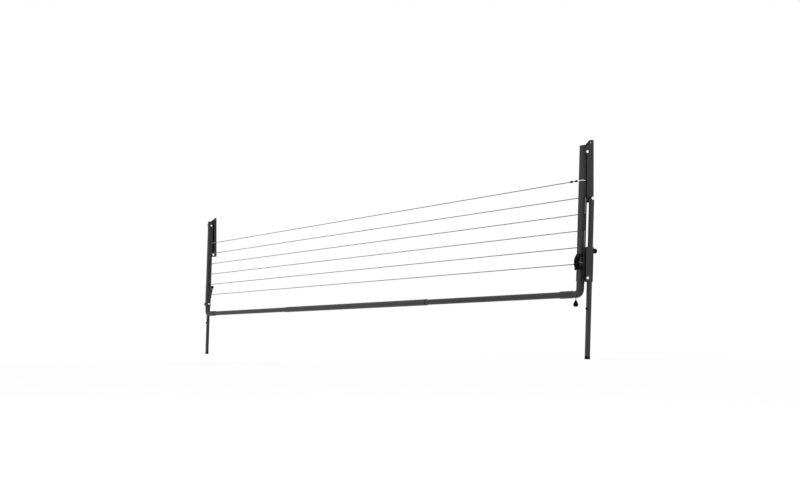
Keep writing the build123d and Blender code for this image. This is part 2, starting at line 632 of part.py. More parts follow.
# ---- clothesline: one cord threaded to and fro, held all the way --------------------------
LOOP_GAP = 0.2
WRAP_GAP = 0.4
LOOP_X = ARM_X + half_arm + FLANGE_THICK + CORD_R + LOOP_GAP     # where a loop lies outside an arm
WRAP_Y = -(half_arm + CORD_R + WRAP_GAP)                    # where it crosses the right arm's front
WRAP_RISE = 4.8                                             # and how far above line 6
HOOK_R = 1.2
HOOK_Y = -(half_arm + HOOK_R + LOOP_GAP)
LOOP_BEND = 3.0
WRAP_FALL = 1.0           # the cord climbs this much from its last loop to the lock
FERRULE_NEAR = 16.5       # ferrule centres, inboard of the right arm's centre plane
FERRULE_FAR = 38.3
CAM_X = -5.0              # the cord goes down through the lock here
LOCK_EXIT = 349.5
TAIL_END = 432.3
INSIDE_Y = -4.9           # inside the arm the cord passes in front of the pivot
CORD_POINTS = [(ARM_X - FERRULE_NEAR - CORD_R, HOOK_Y, -LINES[0])]
CORD_BENDS = []
for row in range(LINE_COUNT):
    end_x = -LOOP_X if row % 2 == 0 else LOOP_X
    CORD_POINTS.append((end_x, 0, -LINES[row]))
    CORD_BENDS.append(LOOP_BEND)
    if row < LINE_COUNT - 1:
        CORD_POINTS.append((end_x, 0, -LINES[row + 1]))
        CORD_BENDS.append(LOOP_BEND)
TAIL_X = ARM_X - TAIL_IN
CORD_POINTS += [
    (LOOP_X, WRAP_Y, -LINES[-1] + WRAP_RISE - WRAP_FALL),
    (ARM_X + CAM_X, WRAP_Y, -LINES[-1] + WRAP_RISE),
    (ARM_X + CAM_X, WRAP_Y, -LOCK_EXIT),
    (ARM_X - 1.5, INSIDE_Y, -361.5),
    (ARM_X, INSIDE_Y, -385.5),
    (ARM_X, 0, -402.6),
    (ARM_X - 5, 0, -416.6),
    (ARM_X - 14.5, 0, -422.6),
    (TAIL_X, 0, -428.1),
    (TAIL_X, 0, -TAIL_END),
]
CORD_BENDS += [4.0, 4.0, 8.0, 12.0, 30.0, 30.0, 12.0, 7.0, 4.5]

with BuildPart() as clothesline:
    with BuildLine(leaning(ARM_PIVOT, "top")) as cord_route:
        FilletPolyline(*CORD_POINTS, radius=CORD_BENDS)
    route_wire = cord_route.line
    with BuildSketch(Plane(origin=route_wire @ 0, z_dir=route_wire % 0)):
        Circle(CORD_R)
    sweep(path=route_wire)
cord_length = sum(edge.length for edge in cord_route.edges())
cord_volume = clothesline.part.volume / (pi * CORD_R**2)
print(f"cord length {cord_length:.1f}, from volume {cord_volume:.1f}, bends {CORD_BENDS}")
save(clothesline.part, "clothesline")

# ---- line 1's end: two ferrules and a wire hook round the right arm's front ---------------
FERRULE_R = 3.2
FERRULE_HALF = 3.6
HOOK_INSIDE = 4.0         # the hook ends this deep in the line hole
HOOK_BENDS = [4.0, 2.4]
with BuildPart() as line_ferrules:
    for centre in (FERRULE_NEAR, FERRULE_FAR):
        ferrule_x = ARM_X - centre - FERRULE_HALF
        with BuildSketch(leaning(ARM_PIVOT, "side", ferrule_x, HOOK_Y, -LINES[0])):
            Circle(FERRULE_R)
            Circle(CORD_R + SLIP, mode=Mode.SUBTRACT)
        extrude(amount=2 * FERRULE_HALF)
save(line_ferrules.part, "line_ferrules")

hook_out = half_arm + FLANGE_THICK + HOOK_R + LOOP_GAP
with BuildPart() as line_hook:
    with BuildLine(leaning(ARM_PIVOT, "top", ARM_X, 0, -LINES[0])) as hook_route:
        FilletPolyline(
            (-FERRULE_NEAR, HOOK_Y, 0), (hook_out, HOOK_Y, 0),
            (hook_out, 0, 0), (half_arm - HOOK_INSIDE, 0, 0),
            radius=HOOK_BENDS,
        )
    with BuildSketch(Plane(origin=hook_route.line @ 0, z_dir=hook_route.line % 0)):
        Circle(HOOK_R)
    sweep(path=hook_route.line)
save(line_hook.part, "line_hook")

# ---- cord lock: two bands round the right arm, a housing on its front, cam lever and pin --
BAND_GAP = 0.1
BAND = 2.2
BAND_HEIGHT = 8.0
BAND_DOWNS = (307.4, 344.5)
HOUSING_X = (-11.0, 4.0)
HOUSING_BACK = -half_arm - BAND_GAP
HOUSING_OUTLINE = ((-13.5, -308.0), (-18.6, -321.0), (-18.6, -336.0), (-14.5, -347.0))
HOUSING_ROUND = 1.5
SLOT_X = (-8.0, -2.0)
SLOT_BACK = -9.0
SLOT_TOP = -313.2
WRAP_SLOT_END = 9.0
WRAP_ROOM = 2.3
WRAP_FRONT_ROOM = 2.0     # from the cord's middle to the front of its way in
WAYS_OVERLAP = 1.0        # the way in runs this far into the slot
GUIDE_X = (-14.0, -half_arm - BAND_GAP)
GUIDE_Y = (-12.5, 5.0)
GUIDE_Z = (-340.0, -319.0)
CAM_AXIS = (-16.2, -332.0)
CAM_R = 2.6
CAM_PIN_R = 1.2
LEVER_END = (-15.8, -350.0)
LEVER_HALF = 1.5


def lock_block(x_range, y_range, z_range):
    """A plain block of the lock in the right arm's leaning frame."""
    plane = leaning(ARM_PIVOT, "top", ARM_X + x_range[0], y_range[0], z_range[0])
    with BuildPart(plane) as block:
        Box(x_range[1] - x_range[0], y_range[1] - y_range[0], z_range[1] - z_range[0],
            align=(Align.MIN, Align.MIN, Align.MIN))
    return block


with BuildPart() as cord_lock_body:
    with BuildSketch(leaning(ARM_PIVOT, "side", ARM_X + HOUSING_X[0])):
        top_front, *_, low_front = HOUSING_OUTLINE
        with BuildLine():
            Polyline(
                (HOUSING_BACK, top_front[1]), *HOUSING_OUTLINE, (HOUSING_BACK, low_front[1]), close=True)
        make_face()
    extrude(amount=HOUSING_X[1] - HOUSING_X[0])
    front_edges = cord_lock_body.edges().filter_by(
        lambda edge: (edge.center() - ARM_PIVOT).dot(WALLWARD) < top_front[0] - HOUSING_ROUND)
    fillet(front_edges, HOUSING_ROUND)
    guide = lock_block(GUIDE_X, GUIDE_Y, GUIDE_Z)
    inner_face = guide.faces().sort_by(Axis.X)[0]
    add(guide.part.fillet(HOUSING_ROUND, inner_face.edges()))
    band_side = ARM_SIDE + 2 * (BAND_GAP + BAND)
    hole_side = ARM_SIDE + 2 * BAND_GAP
    for down in BAND_DOWNS:
        with BuildSketch(leaning(ARM_PIVOT, "top", ARM_X, 0, -down - BAND_HEIGHT / 2)):
            RectangleRounded(band_side, band_side, ARM_CORNER + BAND)
        extrude(amount=BAND_HEIGHT)
    with BuildSketch(leaning(ARM_PIVOT, "top", ARM_X, 0, -ARM_END)):
        RectangleRounded(hole_side, hole_side, ARM_CORNER + BAND_GAP)
    extrude(amount=ARM_END, mode=Mode.SUBTRACT)
    slot_front = 2 * top_front[0]
    add(lock_block(SLOT_X, (slot_front, SLOT_BACK), (-LOCK_EXIT - BAND_HEIGHT, SLOT_TOP)).part,
        mode=Mode.SUBTRACT)
    wrap_z = -LINES[-1] + WRAP_RISE
    add(lock_block((SLOT_X[1] - WAYS_OVERLAP, WRAP_SLOT_END), (WRAP_Y - WRAP_FRONT_ROOM, SLOT_BACK),
                   (wrap_z - WRAP_ROOM, wrap_z + WRAP_ROOM)).part, mode=Mode.SUBTRACT)
    with BuildSketch(leaning(ARM_PIVOT, "side", ARM_X + GUIDE_X[0], 0, -LINES[-1])):
        Circle(FLANGE_R + SLIP)
    extrude(amount=GUIDE_X[1] - GUIDE_X[0], mode=Mode.SUBTRACT)
    with BuildSketch(leaning(ARM_PIVOT, "side", ARM_X + HOUSING_X[0], CAM_AXIS[0], CAM_AXIS[1])):
        Circle(CAM_PIN_R)
    extrude(amount=HOUSING_X[1] - HOUSING_X[0], mode=Mode.SUBTRACT)
save(cord_lock_body.part, "cord_lock_body")

with BuildPart() as cord_lock_cam:
    with BuildSketch(leaning(ARM_PIVOT, "side", ARM_X + SLOT_X[0] + GAP)):
        with Locations(CAM_AXIS):
            Circle(CAM_R)
        with Locations(LEVER_END):
            Circle(LEVER_HALF)
        make_hull()
        with Locations(CAM_AXIS):
            Circle(CAM_PIN_R + FIT, mode=Mode.SUBTRACT)
    extrude(amount=SLOT_X[1] - SLOT_X[0] - 2 * GAP)
save(cord_lock_cam.part, "cord_lock_cam")
save(disc(ARM_PIVOT, ARM_X + HOUSING_X[0], ARM_X + HOUSING_X[1], CAM_PIN_R, y=CAM_AXIS[0], z=CAM_AXIS[1]),
     "cord_lock_pin")

# ---- the cord's tail under the elbow: grommet, hanging stub and teardrop knob -------------
TAIL_LIP = 0.7
TAIL_FLANGE = 0.8
TAIL_PIVOT_DOWN = 434.2
STUB_END = 442.5
DROP_TOP = 439.0
DROP_WIDE = 451.0
DROP_BOTTOM = 458.7
DROP_R = 7.7
DROP_NECK_R = 2.6
DROP_SHOULDER = 0.3       # outward slope of the teardrop below its neck, for 1 downwards
elbow_under = BAR_DOWN + ARM_SIDE / 2
with BuildPart() as tail_grommet:
    for radius, bottom, height in ((TAIL_HOLE_R + TAIL_FLANGE, elbow_under + TAIL_LIP, TAIL_LIP),
                                   (TAIL_HOLE_R, elbow_under, ARM_SIDE / 2 - ELBOW_BORE)):
        with BuildSketch(leaning(ARM_PIVOT, "top", TAIL_X, 0, -bottom)):
            Circle(radius)
            Circle(CORD_R + SLIP, mode=Mode.SUBTRACT)
        extrude(amount=height)
save(tail_grommet.part, "tail_grommet")

# the stub's top is a ball round the tail's hinge
with BuildPart() as tail_cord:
    with BuildSketch(leaning(ARM_PIVOT, "front", TAIL_X)):
        with BuildLine():
            Polyline((0, -TAIL_PIVOT_DOWN + CORD_R), (0, -STUB_END), (CORD_R, -STUB_END),
                     (CORD_R, -TAIL_PIVOT_DOWN))
            CenterArc((0, -TAIL_PIVOT_DOWN), CORD_R, 0, 90)
        make_face()
    revolve(axis=Axis(leaning(ARM_PIVOT, "front", TAIL_X).origin, UP))
save(tail_cord.part, "tail_cord")

with BuildPart() as tail_knob:
    with BuildSketch(leaning(ARM_PIVOT, "front", TAIL_X)):
        with BuildLine():
            Line((0, -DROP_BOTTOM), (0, -DROP_TOP))
            Line((0, -DROP_TOP), (DROP_NECK_R, -DROP_TOP))
            Spline((DROP_NECK_R, -DROP_TOP), (DROP_R, -DROP_WIDE), (0, -DROP_BOTTOM),
                   tangents=((DROP_SHOULDER, -1), (-1, 0)))
        make_face()
    revolve(axis=Axis(leaning(ARM_PIVOT, "front", TAIL_X).origin, UP))
    with BuildSketch(leaning(ARM_PIVOT, "top", TAIL_X, 0, -DROP_TOP)):
        Circle(CORD_R)
    extrude(amount=-(STUB_END - DROP_TOP), mode=Mode.SUBTRACT)
save(tail_knob.part, "tail_knob")

# ---- the numbers that the joints need -----------------------------------------------------
OPEN = 90 - LEAN
angle_open = 90 + atan(OPEN_REACH.Z / -OPEN_REACH.Y) * 180 / pi
brace_open = angle_open - atan(SLIDE_FRONT / OPEN_SLIDE) * 180 / pi - LEAN
print(f"arm opens {OPEN} deg, brace {brace_open:.3f} deg, ratio {brace_open / OPEN:.5f}")
print(f"carriage slides {LOCK_TRAVEL:.3f} mm, pivot in front {SLIDE_FRONT:.3f}, down {SLIDE_DOWN:.3f}")
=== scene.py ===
"""Wall mounted fold down drying rack: studio, materials, turned hardware and twisted cord."""

import json
import math

import bmesh
import bpy
import numpy as np
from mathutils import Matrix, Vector


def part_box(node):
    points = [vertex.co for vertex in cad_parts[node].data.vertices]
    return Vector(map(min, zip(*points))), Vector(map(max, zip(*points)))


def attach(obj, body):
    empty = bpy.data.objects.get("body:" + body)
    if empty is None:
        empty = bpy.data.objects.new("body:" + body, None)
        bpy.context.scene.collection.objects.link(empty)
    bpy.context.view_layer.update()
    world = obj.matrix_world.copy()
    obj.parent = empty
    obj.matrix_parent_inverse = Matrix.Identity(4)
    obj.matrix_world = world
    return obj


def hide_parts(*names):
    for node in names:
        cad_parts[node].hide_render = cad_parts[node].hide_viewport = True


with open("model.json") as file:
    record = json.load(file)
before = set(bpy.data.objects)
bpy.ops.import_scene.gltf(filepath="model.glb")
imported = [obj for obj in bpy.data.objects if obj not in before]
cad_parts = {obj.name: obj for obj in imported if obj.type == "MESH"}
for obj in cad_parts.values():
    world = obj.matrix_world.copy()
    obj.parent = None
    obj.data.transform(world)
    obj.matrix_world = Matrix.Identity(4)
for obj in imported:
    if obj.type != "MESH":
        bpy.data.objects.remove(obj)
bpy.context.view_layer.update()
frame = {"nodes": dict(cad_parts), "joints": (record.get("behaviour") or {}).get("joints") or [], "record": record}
NODES = frame["nodes"]
RECORD = frame["record"]
MM = 0.001

# ---- directions: the arms and braces lean, and the carriages slide along the braces -------
JOINTS = {joint["name"]: joint for joint in frame["joints"]}
UP = -Vector(JOINTS["right_carriage_slide"]["axis"]).normalized()
ALONG_WALL = Vector((1, 0, 0))
WALLWARD = UP.cross(ALONG_WALL).normalized()
ARM_PIVOT = Vector(JOINTS["fold"]["pos_m"])


# ---- camera and stage ---------------------------------------------------------------------
CAMERA_PLACE = (4.175, -2.478, -0.526)
CAMERA_YAW = math.radians(57.442)
CAMERA_LENS = 56.14
CAMERA_SENSOR = 36.0
CAMERA_SHIFT = 0.1193
CAMERA_REACH = 100.0
FLOOR_Z = -1.0
FLOOR_HALF = 30.0
FLOOR_TINTS = (0.97, 0.99)
LAMP_TARGET = (0, 0, -0.25)
LAMPS = (
    ("key", (2.5, -5.0, 3.5), 3.0, 24),        # name, place, width, watts
    ("fill", (5.5, -0.8, 1.2), 2.5, 25),
    ("back", (-4.5, -3.5, 2.0), 2.5, 25),
)


def make_camera():
    data = bpy.data.cameras.new("camera")
    data.lens = CAMERA_LENS
    data.sensor_width = CAMERA_SENSOR
    data.shift_y = CAMERA_SHIFT
    data.clip_end = CAMERA_REACH
    camera = bpy.data.objects.new("camera", data)
    camera.location = CAMERA_PLACE
    camera.rotation_euler = (math.pi / 2, 0, CAMERA_YAW)
    bpy.context.scene.collection.objects.link(camera)
    bpy.context.scene.camera = camera


def new_material(name):
    """An empty node material, its node maker, its linker and its Principled shader."""
    material = bpy.data.materials.new(name)
    material.use_nodes = True
    tree = material.node_tree
    shader = tree.nodes["Principled BSDF"]
    return material, tree.nodes.new, tree.links.new, shader


def make_floor():
    material, make, link, shader = new_material("pale_floor")
    shader.inputs["Roughness"].default_value = 0.9
    shader.inputs["Specular IOR Level"].default_value = 0.0
    coordinate = make("ShaderNodeTexCoord")
    grain = make("ShaderNodeTexNoise")
    grain.inputs["Scale"].default_value = 3.0
    tint = make("ShaderNodeMixRGB")
    for socket, grey in zip(("Color1", "Color2"), FLOOR_TINTS):
        tint.inputs[socket].default_value = (grey, grey, grey, 1)
    link(coordinate.outputs["Object"], grain.inputs["Vector"])
    link(grain.outputs["Fac"], tint.inputs["Fac"])
    link(tint.outputs["Color"], shader.inputs["Base Color"])
    mesh = bpy.data.meshes.new("floor")
    corners = [(-FLOOR_HALF, -FLOOR_HALF), (FLOOR_HALF, -FLOOR_HALF), (FLOOR_HALF, FLOOR_HALF),
               (-FLOOR_HALF, FLOOR_HALF)]
    mesh.from_pydata([(x, y, FLOOR_Z) for x, y in corners], [], [(0, 1, 2, 3)])
    mesh.materials.append(material)
    floor = bpy.data.objects.new("floor", mesh)
    bpy.context.scene.collection.objects.link(floor)


def area_light(name, place, width, watts):
    """A round lamp that points at the middle of the rack."""
    data = bpy.data.lights.new(name, "AREA")
    data.shape = "DISK"
    data.size = width
    data.energy = watts
    light = bpy.data.objects.new(name, data)
    light.location = place
    direction = Vector(LAMP_TARGET) - Vector(place)
    light.rotation_euler = direction.to_track_quat("-Z", "Y").to_euler()
    bpy.context.scene.collection.objects.link(light)


def make_light():
    """An even white surround, with three weak lamps for a little shape."""
    world = bpy.data.worlds.new("studio")
    bpy.context.scene.world = world
    world.use_nodes = True
    surround = world.node_tree.nodes["Background"]
    surround.inputs["Color"].default_value = (1, 1, 1, 1)
    surround.inputs["Strength"].default_value = 1.0
    for lamp in LAMPS:
        area_light(*lamp)


bpy.context.scene.view_settings.view_transform = "Standard"
make_camera()
make_floor()
make_light()


# ---- materials ----------------------------------------------------------------------------
def noise(make, link, coordinate, scale, detail=2.0, stretch=(1, 1, 1)):
    """Noise over the part's own coordinates, in features of about 1/scale metres."""
    spread = make("ShaderNodeMapping")
    spread.inputs["Scale"].default_value = stretch
    texture = make("ShaderNodeTexNoise")
    texture.inputs["Scale"].default_value = scale
    texture.inputs["Detail"].default_value = detail
    link(coordinate.outputs["Object"], spread.inputs["Vector"])
    link(spread.outputs["Vector"], texture.inputs["Vector"])
    return texture.outputs["Fac"]


def spread_over(make, link, source, low, high, source_low=0.3, source_high=0.7):
    """The source's usual range, source_low to source_high, mapped to low...high."""
    remap = make("ShaderNodeMapRange")
    remap.inputs["From Min"].default_value = source_low
    remap.inputs["From Max"].default_value = source_high
    remap.inputs["To Min"].default_value = low
    remap.inputs["To Max"].default_value = high
    link(source, remap.inputs["Value"])
    return remap.outputs["Result"]


def scaled(colour, times):
    return tuple(times * channel for channel in colour)


def mixed(make, link, share, first, second):
    """A colour between two, by a share; either may be a colour or another node's output."""
    mix = make("ShaderNodeMixRGB")
    link(share, mix.inputs["Fac"])
    for socket, colour in (("Color1", first), ("Color2", second)):
        if isinstance(colour, tuple):
            mix.inputs[socket].default_value = (*colour, 1)
        else:
            link(colour, mix.inputs[socket])
    return mix.outputs["Color"]


def bumped(make, link, shader, layers):
    """Chained bumps, each a height output, a depth in metres and a strength."""
    normal = None
    for height, depth, strength in layers:
        bump = make("ShaderNodeBump")
        bump.inputs["Distance"].default_value = depth
        bump.inputs["Strength"].default_value = strength
        link(height, bump.inputs["Height"])
        if normal is not None:
            link(normal, bump.inputs["Normal"])
        normal = bump.outputs["Normal"]
    link(normal, shader.inputs["Normal"])


def edge_share(make, link, radius, low, high):
    """1 on worn outer edges, 0 on flats: where a rounded normal leaves the true one.

    low and high are the agreement of the two normals on an edge and on a flat.
    """
    bevel = make("ShaderNodeBevel")
    bevel.samples = 4
    bevel.inputs["Radius"].default_value = radius
    geometry = make("ShaderNodeNewGeometry")
    dot = make("ShaderNodeVectorMath")
    dot.operation = "DOT_PRODUCT"
    link(bevel.outputs["Normal"], dot.inputs[0])
    link(geometry.outputs["Normal"], dot.inputs[1])
    return spread_over(make, link, dot.outputs["Value"], 1.0, 0.0, low, high)


def product(make, link, first, second):
    multiply = make("ShaderNodeMath")
    multiply.operation = "MULTIPLY"
    link(first, multiply.inputs[0])
    link(second, multiply.inputs[1])
    return multiply.outputs["Value"]


SPECK_PALER = 1.22         # how much paler than the light tone each detail is
STREAK_PALER = 1.45
WORN_PALER = 2.1
RUBBED_STRETCH = (1.0, 1.0, 0.012)


def powder_coat(name, dark, light, rubbed):
    """Charcoal powder coat: fine leathery grain, faint cloudiness, thinner paint along the edges.

    A rubbed coat also has long polished streaks, where a carriage slides on it.
    """
    material, make, link, shader = new_material(name)
    coordinate = make("ShaderNodeTexCoord")
    cloud = noise(make, link, coordinate, scale=22.0, detail=3.0)
    grain = noise(make, link, coordinate, scale=1500.0)
    speck = noise(make, link, coordinate, scale=4200.0, detail=1.0)
    patch = noise(make, link, coordinate, scale=160.0)
    colour = mixed(make, link, spread_over(make, link, cloud, 0.0, 1.0), dark, light)
    specks = spread_over(make, link, speck, 0.0, 0.45, source_low=0.52, source_high=0.72)
    colour = mixed(make, link, specks, colour, scaled(light, SPECK_PALER))
    wear = edge_share(make, link, radius=0.7 * MM, low=0.80, high=0.97)
    patchy = product(make, link, wear, spread_over(make, link, patch, 0.1, 0.7))
    colour = mixed(make, link, patchy, colour, scaled(light, WORN_PALER))
    rough = spread_over(make, link, grain, 0.40, 0.56)
    if rubbed:
        streak = noise(make, link, coordinate, scale=900.0, stretch=RUBBED_STRETCH)
        streaks = spread_over(make, link, streak, 0.0, 0.55, source_low=0.5, source_high=0.72)
        colour = mixed(make, link, streaks, colour, scaled(light, STREAK_PALER))
        rough = spread_over(make, link, streak, 0.30, 0.52, source_low=0.7, source_high=0.35)
    link(colour, shader.inputs["Base Color"])
    link(rough, shader.inputs["Roughness"])
    shader.inputs["Specular IOR Level"].default_value = 0.15
    bumped(make, link, shader, [(grain, 0.2 * MM, 0.6), (speck, 0.08 * MM, 0.5)])
    return material


MOULD_WORN_PALER = 2.5
FLOW_STRETCH = (1.0, 1.0, 0.35)


def moulded_plastic(name, dark, light, rough_low, rough_high):
    """Moulded plastic: fine spark-eroded grain, soft flow marks and slightly polished edges."""
    material, make, link, shader = new_material(name)
    coordinate = make("ShaderNodeTexCoord")
    flow = noise(make, link, coordinate, scale=60.0, stretch=FLOW_STRETCH)
    grain = noise(make, link, coordinate, scale=2600.0, detail=3.0)
    colour = mixed(make, link, spread_over(make, link, flow, 0.0, 1.0), dark, light)
    wear = edge_share(make, link, radius=0.5 * MM, low=0.82, high=0.98)
    worn = product(make, link, wear, flow)
    colour = mixed(make, link, worn, colour, scaled(light, MOULD_WORN_PALER))
    link(colour, shader.inputs["Base Color"])
    link(spread_over(make, link, grain, rough_low, rough_high), shader.inputs["Roughness"])
    shader.inputs["Specular IOR Level"].default_value = 0.05
    bumped(make, link, shader, [(grain, 0.06 * MM, 0.45), (flow, 0.2 * MM, 0.12)])
    return material


SCRATCH_STRETCH = (1.0, 0.08, 0.3)
LATHE_MARKS = 900.0


def plated_steel(name, dark, light, rough_low, rough_high, lathe_marks):
    """Plated steel: metallic, faint cloudy plating, fine scratches, turning marks if asked."""
    material, make, link, shader = new_material(name)
    shader.inputs["Metallic"].default_value = 1.0
    coordinate = make("ShaderNodeTexCoord")
    cloud = noise(make, link, coordinate, scale=240.0, detail=3.0)
    scratch = noise(make, link, coordinate, scale=1400.0, stretch=SCRATCH_STRETCH)
    colour = mixed(make, link, spread_over(make, link, cloud, 0.0, 1.0), dark, light)
    link(colour, shader.inputs["Base Color"])
    link(spread_over(make, link, scratch, rough_low, rough_high), shader.inputs["Roughness"])
    layers = [(scratch, 0.02 * MM, 0.5), (cloud, 0.05 * MM, 0.15)]
    if lathe_marks:
        rings = make("ShaderNodeTexWave")
        rings.wave_type = "RINGS"
        rings.rings_direction = "Z"
        rings.inputs["Scale"].default_value = LATHE_MARKS
        rings.inputs["Distortion"].default_value = 0.6
        link(coordinate.outputs["Object"], rings.inputs["Vector"])
        layers.append((rings.outputs["Fac"], 0.01 * MM, 0.35))
    bumped(make, link, shader, layers)
    return material


GROOVE = "groove"          # the cord's own mark of how deep in a groove a point is, where the material paints shade
# painted shade: the colour deep in a groove, as a share of the dark grey
GROOVE_PAINTED_SHADE = 0.42


def line_skin(name, dark, light):
    """Grey vinyl skin over a twisted core, with painted shade darkening the grooves between strands."""
    material, make, link, shader = new_material(name)
    coordinate = make("ShaderNodeTexCoord")
    groove = make("ShaderNodeAttribute")
    groove.attribute_name = GROOVE
    cloud = noise(make, link, coordinate, scale=45.0)
    fleck = noise(make, link, coordinate, scale=2400.0)
    colour = mixed(make, link, spread_over(make, link, cloud, 0.0, 1.0), dark, light)
    # painted shade in the grooves between strands, broken up by fine flecks
    shade = product(make, link, groove.outputs["Fac"], spread_over(make, link, fleck, 0.45, 0.8))
    colour = mixed(make, link, shade, colour, scaled(dark, GROOVE_PAINTED_SHADE))
    link(colour, shader.inputs["Base Color"])
    link(spread_over(make, link, fleck, 0.34, 0.5), shader.inputs["Roughness"])
    shader.inputs["Coat Weight"].default_value = 0.15
    shader.inputs["Coat Roughness"].default_value = 0.3
    bumped(make, link, shader, [(fleck, 0.04 * MM, 0.35)])
    return material


CHARCOAL = (0.0215, 0.0217, 0.0228)
CHARCOAL_LIGHT = (0.027, 0.0273, 0.0285)
BLACK = (0.001, 0.001, 0.0011)
BLACK_LIGHT = (0.0018, 0.0018, 0.002)
NYLON = (0.004, 0.004, 0.004)
NYLON_LIGHT = (0.007, 0.007, 0.007)
BRIGHT = (0.74, 0.75, 0.77)
BRIGHT_LIGHT = (0.86, 0.87, 0.88)
TURNED_LIGHT = (0.88, 0.89, 0.9)
ZINC = (0.36, 0.37, 0.38)
ZINC_LIGHT = (0.5, 0.51, 0.52)
LINE_GREY = (0.108, 0.110, 0.113)
LINE_GREY_LIGHT = (0.142, 0.145, 0.149)
MATERIALS = {
    "charcoal_paint": powder_coat("charcoal_powder_coat", CHARCOAL, CHARCOAL_LIGHT, rubbed=False),
    "black_plastic": moulded_plastic("black_moulding", BLACK, BLACK_LIGHT, 0.42, 0.6),
    "bright_steel": plated_steel("bright_plating", BRIGHT, BRIGHT_LIGHT, 0.16, 0.3, lathe_marks=False),
    "zinc_steel": plated_steel("dull_zinc", ZINC, ZINC_LIGHT, 0.36, 0.52, lathe_marks=False),
    "nylon": moulded_plastic("black_nylon", NYLON, NYLON_LIGHT, 0.5, 0.66),
    "cord": line_skin("line_skin", LINE_GREY, LINE_GREY_LIGHT),
}
RUBBED_COAT = powder_coat("rubbed_powder_coat", CHARCOAL, CHARCOAL_LIGHT, rubbed=True)
TURNED_STEEL = plated_steel("turned_plating", BRIGHT, TURNED_LIGHT, 0.14, 0.26, lathe_marks=True)
SLOTS = {part["node"]: part["material_slot"] for part in RECORD["subparts"]}


SAME_POINT = 0.002 * MM
SAME_PLANE = math.radians(0.5)
HARD_EDGE = math.radians(40)
BRACKET_EDGE = 0.5 * MM
SHEET_EDGE = 0.3 * MM
MOULDED_EDGE = 0.35 * MM


def soften(node, width):
    """Rounds a CAD piece's hard edges for the light to catch, without changing its mesh."""
    piece = NODES[node]
    weld = piece.modifiers.new("weld", "WELD")
    weld.merge_threshold = SAME_POINT
    flats = piece.modifiers.new("flats", "DECIMATE")
    flats.decimate_type = "DISSOLVE"
    flats.angle_limit = SAME_PLANE
    bevel = piece.modifiers.new("edges", "BEVEL")
    bevel.width = width
    bevel.segments = 2
    bevel.limit_method = "ANGLE"
    bevel.angle_limit = HARD_EDGE
    bevel.harden_normals = True


for node_name, node in NODES.items():
    node.data.materials.clear()
    node.data.materials.append(MATERIALS[SLOTS[node_name]])
for side in ("right", "left"):
    NODES[f"{side}_brace"].data.materials[0] = RUBBED_COAT
    soften(f"{side}_wall_bracket", BRACKET_EDGE)
    soften(f"{side}_carriage", SHEET_EDGE)
    soften(f"{side}_brace_end_cap", SHEET_EDGE)
    soften(f"{side}_lock_knob", MOULDED_EDGE)
soften("cord_lock_body", MOULDED_EDGE)
soften("cord_lock_cam", MOULDED_EDGE)


# ---- turned hardware: button-head bolts and nuts with hex sockets --------------------------
SEGMENTS = 48
CORNER = math.radians(50)
RING_POINT = 0.0005 * MM   # a ring smaller than this is one point
RIGHT_MOUNT = next(mount for mount in RECORD["mounts"] if mount["name"] == "right_bracket_screws")
ARM_X = RIGHT_MOUNT["pos_m"][0]
BODY_OF = {name: body for body, names in RECORD["behaviour"]["bodies"].items() for name in names}


def round_ring(angle):
    """A circle's reach, the same at every angle."""
    return 1.0


def hex_ring(angle):
    """A hexagon's reach at an angle, where its flats are 1 from the middle."""
    sixth = math.pi / 3
    return 1.0 / math.cos(angle % sixth - sixth / 2)


def turned(name, stations, start, axis, material, closed=False):
    """A mesh round an axis: each station is a distance along it, a radius and a ring shape.

    A closed one joins its last ring to its first, like a sleeve; others end in a point or a flat.
    """
    across = axis.orthogonal().normalized()
    beside = axis.cross(across)
    mesh = bmesh.new()
    rings = []
    for along, radius, shape in stations:
        ring = []
        for step in range(SEGMENTS):
            angle = 2 * math.pi * step / SEGMENTS
            reach = radius * shape(angle)
            outward = across * math.cos(angle) + beside * math.sin(angle)
            ring.append(mesh.verts.new(start + axis * along + outward * reach))
        rings.append(ring)
    pairs = list(zip(rings, rings[1:]))
    if closed:
        pairs.append((rings[-1], rings[0]))
    for near, far in pairs:
        for step in range(SEGMENTS):
            following = (step + 1) % SEGMENTS
            face = mesh.faces.new((near[step], near[following], far[following], far[step]))
            face.smooth = True
    bmesh.ops.remove_doubles(mesh, verts=mesh.verts, dist=RING_POINT)
    bmesh.ops.recalc_face_normals(mesh, faces=mesh.faces)
    data = bpy.data.meshes.new(name)
    mesh.to_mesh(data)
    mesh.free()
    data.materials.append(material)
    piece = bpy.data.objects.new(name, data)
    bpy.context.scene.collection.objects.link(piece)
    sharp = piece.modifiers.new("corners", "EDGE_SPLIT")
    sharp.split_angle = CORNER
    return piece


HEAD = 2.8 * MM            # height of a button head
HEAD_FOOT = 0.15 * MM
HEAD_FOOT_IN = 0.2 * MM
DOME_STEPS = 7
DOME_POWER = 0.6           # under 1, the dome is fuller than a quarter circle
SOCKET_SHARE = 0.42        # of the head's radius
SOCKET_RIM = 1.22
SOCKET_CHAMFER = 0.12 * MM
SOCKET_WALL = 0.6          # of the head's height
SOCKET_FLOOR = 0.78


def head_stations(radius):
    """A button head with a hex socket, from its seat outwards and down to the socket's floor."""
    socket = SOCKET_SHARE * radius
    dome = [(0.0, radius - HEAD_FOOT_IN, round_ring), (HEAD_FOOT, radius, round_ring)]
    for step in range(1, DOME_STEPS):
        angle = math.pi / 2 * step / DOME_STEPS
        along = HEAD_FOOT + (HEAD - HEAD_FOOT) * math.sin(angle)
        dome.append((along, socket + (radius - socket) * math.cos(angle) ** DOME_POWER, round_ring))
    dome.append((HEAD, socket * SOCKET_RIM, round_ring))
    dome.append((HEAD - SOCKET_CHAMFER, socket, hex_ring))
    dome.append((HEAD - SOCKET_WALL * HEAD, socket, hex_ring))
    dome.append((HEAD - SOCKET_FLOOR * HEAD, 0.0, round_ring))
    return dome


def middle(node):
    """The middle of a CAD node's box."""
    low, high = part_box(node)
    return Vector([(near + far) / 2 for near, far in zip(low, high)])


